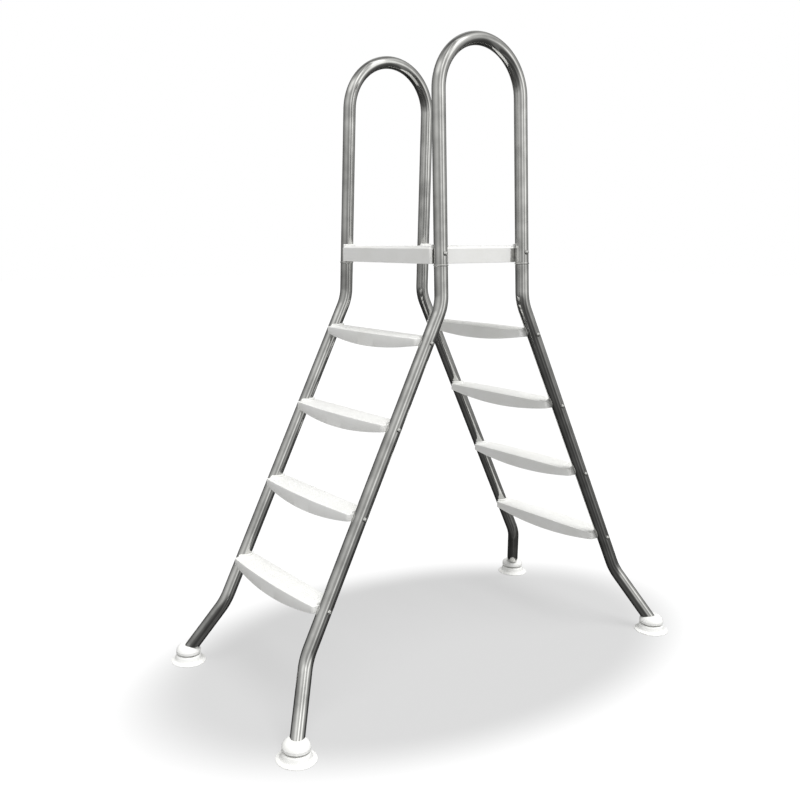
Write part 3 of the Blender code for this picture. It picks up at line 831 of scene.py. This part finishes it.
class LADDER_OT_platform(bpy.types.Operator):
    """Mould the platform"""

    bl_idname = "ladder.platform"
    bl_label = "Platform"

    def execute(self, context):
        size = mouldings()
        low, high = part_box("platform")
        top = high.z - size.ear_rise
        bm = bmesh.new()
        block(bm, low, (high.x, high.y, top))
        soften(bm, upright_edges(bm), size.corner, 8)
        soften(bm, rim_edges(bm, 1), size.deck_edge, 1)
        soften(bm, sharp_edges(bm, 30), 0.0011, 3)
        deck = mesh_object("moulded_platform", bm)
        cells = bmesh.new()
        reach, roof = high.x - size.shell, top - size.shell - 0.001
        width = (2 * reach - (CELLS - 1) * size.rib) / CELLS
        for cell in range(CELLS):
            x = -reach + cell * (width + size.rib)
            block(cells, (x, -size.solid_end, low.z - PAST / 2), (x + width, size.solid_end, roof))
        carve(deck, cells)
        grip_reach = high.x - size.deck_margin
        grip_ribs(deck, Vector((0.0, 0.0, top)), 1, (-grip_reach, grip_reach))
        for label, side, hand in legs():
            self.saddle(deck, f"platform_bracket_{label}", top, side, hand)
        finish_piece(deck, "platform", finish_of("tread_plastic"), broad_faces=True)
        return {"FINISHED"}

    def saddle(self, deck, bracket_node, top, side, hand):
        """Recess for a bracket, the ear above it and the bore of the tube."""
        low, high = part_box(bracket_node)
        size = mouldings()
        recess = bmesh.new()
        wing = abs(high.y if hand > 0 else low.y) - size.sheet - GAP
        ends = sorted((hand * wing, hand * (size.half + PAST)))
        block(recess, (low.x - GAP, ends[0], low.z - PAST), (high.x + GAP, ends[1], high.z + GAP))
        carve(deck, recess)
        saddle = bmesh.new()
        centre = upright_point((low.z + high.z) / 2, side, hand)
        depth = abs(centre.y) - abs(low.y if hand > 0 else high.y) + GAP
        bottom, roof = (Vector((centre.x, centre.y, z)) for z in (low.z - PAST, high.z + GAP))
        rod(saddle, bottom, roof, depth, 64)
        carve(deck, saddle)
        ear = ear_shape(upright_point(top, side, hand), Vector((0, 0, 1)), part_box("platform")[1].y - 0.001)
        carve(deck, ear, "UNION")
        bore = bmesh.new()
        rod(bore, upright_point(top - FAR_PAST, side, hand), upright_point(top + FAR_PAST, side, hand),
            tubes().radius + GAP, tubes().sides)
        carve(deck, bore)


class LADDER_OT_brackets(bpy.types.Operator):
    """Press the saddle brackets between uprights and platform"""

    bl_idname = "ladder.brackets"
    bl_label = "Saddle Brackets"

    def execute(self, context):
        thick = mouldings().sheet
        for label, side, hand in legs():
            node = f"platform_bracket_{label}"
            low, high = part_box(node)
            centre = upright_point((low.z + high.z) / 2, side, hand)
            face = high.y if hand > 0 else low.y
            radius = abs(centre.y) - abs(low.y if hand > 0 else high.y) - thick / 2
            wing_y = face - hand * thick / 2
            reach = math.acos((abs(centre.y) - abs(wing_y)) / radius)
            bm = bmesh.new()
            start = bm.verts.new((centre.x - radius * math.sin(reach), wing_y, low.z))
            arc = bmesh.ops.spin(bm, geom=[start], cent=(centre.x, centre.y, low.z), axis=(0, 0, 1),
                                 dvec=(0, 0, 0), angle=hand * 2 * reach, steps=20, use_duplicate=False)
            end = next(part for part in arc["geom_last"] if isinstance(part, bmesh.types.BMVert))
            for vert, x in ((start, low.x), (end, high.x)):
                wing = bmesh.ops.extrude_vert_indiv(bm, verts=[vert])["verts"]
                bmesh.ops.translate(bm, verts=wing, vec=(x - vert.co.x, 0, 0))
            run_straight(bm, list(bm.edges), Vector((0, 0, high.z - low.z)))
            bmesh.ops.recalc_face_normals(bm, faces=bm.faces)
            bmesh.ops.solidify(bm, geom=list(bm.faces), thickness=thick / 2)
            plate = mesh_object(f"saddle_{label}", bm)
            finish_piece(plate, node, finish_of("bracket_sheet"))
        return {"FINISHED"}


class LADDER_OT_bolts(bpy.types.Operator):
    """Turn the domed bolts of steps and platform"""

    bl_idname = "ladder.bolts"
    bl_label = "Bolts"

    def execute(self, context):
        size = bolts()
        nodes = [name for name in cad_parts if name.startswith(("step_bolt_", "platform_bolt_"))]
        for node in sorted(nodes):
            low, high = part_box(node)
            hand = math.copysign(1, low.y + high.y)
            shank = high.y - low.y
            head, rise, tip = (high.x - low.x) / 2 - 0.0002, size.rise, -shank + size.rise
            profile = [(0.0, tip), (size.shank - 0.0006, tip), (size.shank, tip + 0.0008), (size.shank, 0.0),
                       (head, 0.0), (head, 0.0012), (head - 0.0006, 0.0016), (head - 0.0010, 0.0022),
                       (head * 0.76, 0.0037), (head * 0.50, 0.0047), (size.recess + 0.0002, rise - 0.0002),
                       (size.recess, size.recess_floor + 0.0004), (0.0, size.recess_floor)]
            bm = bmesh.new()
            turned(bm, profile, 32)
            seat_y = (high.y if hand > 0 else low.y) - hand * rise
            seat = Matrix.Translation(((low.x + high.x) / 2, seat_y, (low.z + high.z) / 2))
            bmesh.ops.transform(bm, verts=bm.verts, matrix=seat @ turn_to((0, hand, 0)))
            screw = mesh_object(f"domed_{node}", bm)
            finish_piece(screw, node, finish_of("fastener_steel"))
        return {"FINISHED"}


class LADDER_OT_feet(bpy.types.Operator):
    """Mould the caps and bases of the swivel feet"""

    bl_idname = "ladder.feet"
    bl_label = "Swivel Feet"

    def execute(self, context):
        for label, side, hand in legs():
            centre = foot_centre(label)
            self.cap(label, side, hand, centre)
            self.base(label, centre)
        return {"FINISHED"}

    def cap(self, label, side, hand, centre):
        """Cover with a rim band and a low dome up to the tube; the ball hangs below its floor."""
        size, leg = feet(), tubes()
        floor, rim, wall = leg.end - size.floor, size.cap_bottom, mouldings().shell
        band, reach = rim + size.cap_band, size.cap
        neck_angle = math.acos(size.neck / size.ball)
        turns = [-math.pi / 2 + i * (neck_angle + math.pi / 2) / 14 for i in range(15)]
        ball = [(size.ball * math.cos(turn), size.pivot + size.ball * math.sin(turn)) for turn in turns]
        ball[0] = (0.0, size.pivot - size.ball)
        hollow = [(size.neck, floor - 0.002), (size.neck + 0.0006, floor - 0.0006),
                  (size.neck + 0.002, floor), (reach * 0.80, floor), (reach - wall, rim + 0.0006),
                  (reach - wall + 0.0007, rim)]
        outside = [(reach - 0.0008, rim), (reach, rim + 0.0008), (reach, band),
                   (reach - 0.0004, band + 0.0006)]
        dome = [(reach * share, band + rise) for share, rise in CAP_DOME]
        crown = [(reach * 0.63, size.cap_top - 0.0004), (reach * 0.60, size.cap_top), (0.0, size.cap_top)]
        profile = [*ball, *hollow, *outside, *dome, *crown]
        bm = bmesh.new()
        turned(bm, profile, 72)
        bmesh.ops.translate(bm, verts=bm.verts, vec=centre)
        cover = mesh_object(f"domed_cap_{label}", bm)
        bore = bmesh.new()
        foot = quarter(leg.foot, side, hand)
        down = (foot - quarter(leg.lower, side, hand)).normalized()
        rod(bore, foot - down * FAR_PAST / 2, foot, leg.radius + GAP, leg.sides)
        cut_level(bore, leg.end - 0.0002)
        carve(cover, bore)
        finish_piece(cover, f"foot_cap_{label}", finish_of("foot_plastic_white"))

    def base(self, label, centre):
        """Bell with a flat lip and the socket for the ball."""
        size = feet()
        lip, socket = size.lip, size.socket
        edge = [(0.0, 0.0), (lip - 0.0012, 0.0), (lip - 0.0003, 0.0006), (lip, 0.0016),
                (lip - 0.0006, 0.0027), (lip - 0.0020, 0.0034), (lip - 0.0050, 0.0040)]
        turns = [math.radians(40 - 13 * i) for i in range(10)]
        bowl = [(socket * math.cos(turn), size.pivot + socket * math.sin(turn)) for turn in turns]
        profile = [*edge, *BASE_WALL, *bowl, (0.0, size.pivot - socket)]
        bm = bmesh.new()
        turned(bm, profile, 72)
        bmesh.ops.translate(bm, verts=bm.verts, vec=centre)
        bell = mesh_object(f"bell_base_{label}", bm)
        finish_piece(bell, f"foot_base_{label}", finish_of("foot_plastic_white"),
                     body=f"foot_{label}")


class LADDER_OT_stage(bpy.types.Operator):
    """Set up the floor, the soft lights and the camera"""

    bl_idname = "ladder.stage"
    bl_label = "Studio"

    def execute(self, context):
        context.scene.view_settings.view_transform = "Standard"
        self.camera(context)
        self.floor(context)
        self.surroundings(context)
        self.overhead(context)
        return {"FINISHED"}

    def camera(self, context):
        """The camera, from its place, its two angles and its roll."""
        view = context.scene.ladder_stage
        ahead = Vector((math.sin(view.yaw) * math.cos(view.pitch), math.cos(view.yaw) * math.cos(view.pitch),
                        math.sin(view.pitch)))
        right = Vector((math.cos(view.yaw), -math.sin(view.yaw), 0.0))
        right = Matrix.Rotation(-view.roll, 3, ahead) @ right
        up = right.cross(ahead)
        data = bpy.data.cameras.new("studio_camera")
        data.sensor_width, data.lens = 36.0, view.lens
        data.shift_x, data.shift_y = view.shift
        camera = bpy.data.objects.new("studio_camera", data)
        camera.matrix_world = Matrix.Translation(view.eye) @ Matrix((right, up, -ahead)).transposed().to_4x4()
        context.scene.collection.objects.link(camera)
        context.scene.camera = camera

    def floor(self, context):
        """A wide pale floor with a glow that keeps shadows faint, and a painted shadow: the glow greys in a
        soft oval under the ladder.
        """
        bm = bmesh.new()
        bmesh.ops.create_grid(bm, x_segments=8, y_segments=8, size=30.0)
        ground = mesh_object("studio_floor", bm)
        made, tree, shader = new_material("studio_floor")
        shader.inputs["Roughness"].default_value = 0.9
        shader.inputs["Specular IOR Level"].default_value = 0.0
        shader.inputs["Emission Strength"].default_value = 1.0
        view = context.scene.ladder_stage
        squeeze = tree.nodes.new("ShaderNodeMapping")
        squeeze.inputs["Scale"].default_value = (1 / view.reach[0], 1 / view.reach[1], 0.0)
        tree.links.new(tree.nodes.new("ShaderNodeTexCoord").outputs["Object"], squeeze.inputs["Vector"])
        away = tree.nodes.new("ShaderNodeVectorMath")
        away.operation = "LENGTH"
        tree.links.new(squeeze.outputs["Vector"], away.inputs[0])
        fade = remap(tree, away.outputs["Value"], *view.fade)
        fade.node.interpolation_type = "SMOOTHSTEP"
        # The glow mixes the pale floor tone with the painted shadow tone of the oval under the ladder
        glow = mixed(tree, fade, view.under, view.floor)
        seen = tree.nodes.new("ShaderNodeLightPath").outputs["Is Camera Ray"]
        tree.links.new(mixed(tree, seen, (0.0, 0.0, 0.0), glow), shader.inputs["Emission Color"])
        tree.links.new(mixed(tree, seen, view.bounce, view.body), shader.inputs["Base Color"])
        ground.data.materials.append(made)
        ground.visible_glossy = False

    def surroundings(self, context):
        """White behind the ladder, even light for the mouldings, soft boxes and flags for the steel."""
        world = bpy.data.worlds.new("studio")
        world.use_nodes = True
        context.scene.world = world
        tree = world.node_tree
        tree.nodes.clear()
        path = tree.nodes.new("ShaderNodeLightPath")
        even = self.background(tree, context.scene.ladder_stage.even)
        white = self.background(tree, 1.0)
        boxes = self.background(tree, 1.0)
        self.reflected_room(tree, boxes, context.scene.ladder_stage.room)
        lit = tree.nodes.new("ShaderNodeMixShader")
        tree.links.new(path.outputs["Is Glossy Ray"], lit.inputs["Fac"])
        tree.links.new(even.outputs[0], lit.inputs[1])
        tree.links.new(boxes.outputs[0], lit.inputs[2])
        seen = tree.nodes.new("ShaderNodeMixShader")
        tree.links.new(path.outputs["Is Camera Ray"], seen.inputs["Fac"])
        tree.links.new(lit.outputs[0], seen.inputs[1])
        tree.links.new(white.outputs[0], seen.inputs[2])
        out = tree.nodes.new("ShaderNodeOutputWorld")
        tree.links.new(seen.outputs[0], out.inputs["Surface"])

    def background(self, tree, strength):
        """A white background."""
        node = tree.nodes.new("ShaderNodeBackground")
        node.inputs["Color"].default_value = (1.0, 1.0, 1.0, 1.0)
        node.inputs["Strength"].default_value = strength
        return node

    def reflected_room(self, tree, target, strength):
        """Dark floor and grey walls with a few upright panels, light and dark, as the steel sees them."""
        around = tree.nodes.new("ShaderNodeTexCoord").outputs["Generated"]
        split = tree.nodes.new("ShaderNodeSeparateXYZ")
        tree.links.new(around, split.inputs[0])
        walls = self.ramp(tree, remap(tree, split.outputs["Z"], -1.0, 1.0), ROOM_HEIGHTS)
        turn = tree.nodes.new("ShaderNodeMath")
        turn.operation = "ARCTAN2"
        tree.links.new(split.outputs["Y"], turn.inputs[0])
        tree.links.new(split.outputs["X"], turn.inputs[1])
        sides = self.ramp(tree, remap(tree, turn.outputs[0], -math.pi, math.pi), ROOM_PANELS)
        tree.links.new(walls, target.inputs["Color"])
        tree.links.new(math_node(tree, "MULTIPLY", sides, strength), target.inputs["Strength"])

    def ramp(self, tree, factor, stops):
        """Grey values at places along a factor."""
        node = tree.nodes.new("ShaderNodeValToRGB")
        node.color_ramp.interpolation = "EASE"
        while len(node.color_ramp.elements) < len(stops):
            node.color_ramp.elements.new(0.5)
        for element, (position, value) in zip(node.color_ramp.elements, stops):
            element.position, element.color = position, (value, value, value * 0.985, 1.0)
        tree.links.new(factor, node.inputs["Fac"])
        return node.outputs["Color"]

    def overhead(self, context):
        """One wide soft light from high on the near right."""
        view = context.scene.ladder_stage
        data = bpy.data.lights.new("overhead_light", "SUN")
        data.energy, data.angle = view.sun, view.sun_width
        light = bpy.data.objects.new("overhead_light", data)
        source = Vector(view.sun_from)
        light.location = source * 4
        light.rotation_euler = source.to_track_quat("Z", "Y").to_euler()
        light.visible_glossy = False
        context.scene.collection.objects.link(light)


class LADDER_PT_panel(bpy.types.Panel):
    """Lists the ladder's pieces and sizes"""

    bl_idname = "LADDER_PT_panel"
    bl_label = "Pool Ladder"
    bl_space_type = "VIEW_3D"
    bl_region_type = "UI"
    bl_category = "Ladder"

    def draw(self, context):
        for operator in OPERATORS:
            self.layout.operator(operator.bl_idname)
        for name, group in GROUPS.items():
            box = self.layout.box()
            for prop in group.__annotations__:
                box.prop(getattr(context.scene, name), prop)


OPERATORS = (
    LADDER_OT_handrails,
    LADDER_OT_stiles,
    LADDER_OT_ferrules,
    LADDER_OT_steps,
    LADDER_OT_platform,
    LADDER_OT_brackets,
    LADDER_OT_bolts,
    LADDER_OT_feet,
    LADDER_OT_stage,
)


def register():
    for group in GROUPS.values():
        bpy.utils.register_class(group)
    for name, group in GROUPS.items():
        setattr(bpy.types.Scene, name, bpy.props.PointerProperty(type=group))
    for operator in OPERATORS:
        bpy.utils.register_class(operator)
    bpy.utils.register_class(LADDER_PT_panel)


def unregister():
    bpy.utils.unregister_class(LADDER_PT_panel)
    for operator in reversed(OPERATORS):
        bpy.utils.unregister_class(operator)
    for name, group in reversed(GROUPS.items()):
        delattr(bpy.types.Scene, name)
        bpy.utils.unregister_class(group)


def main():
    """Builds every piece and the stage in order."""
    register()
    for operator in OPERATORS:
        family, name = operator.bl_idname.split(".")
        getattr(getattr(bpy.ops, family), name)()


if __name__ == "__main__":
    main()
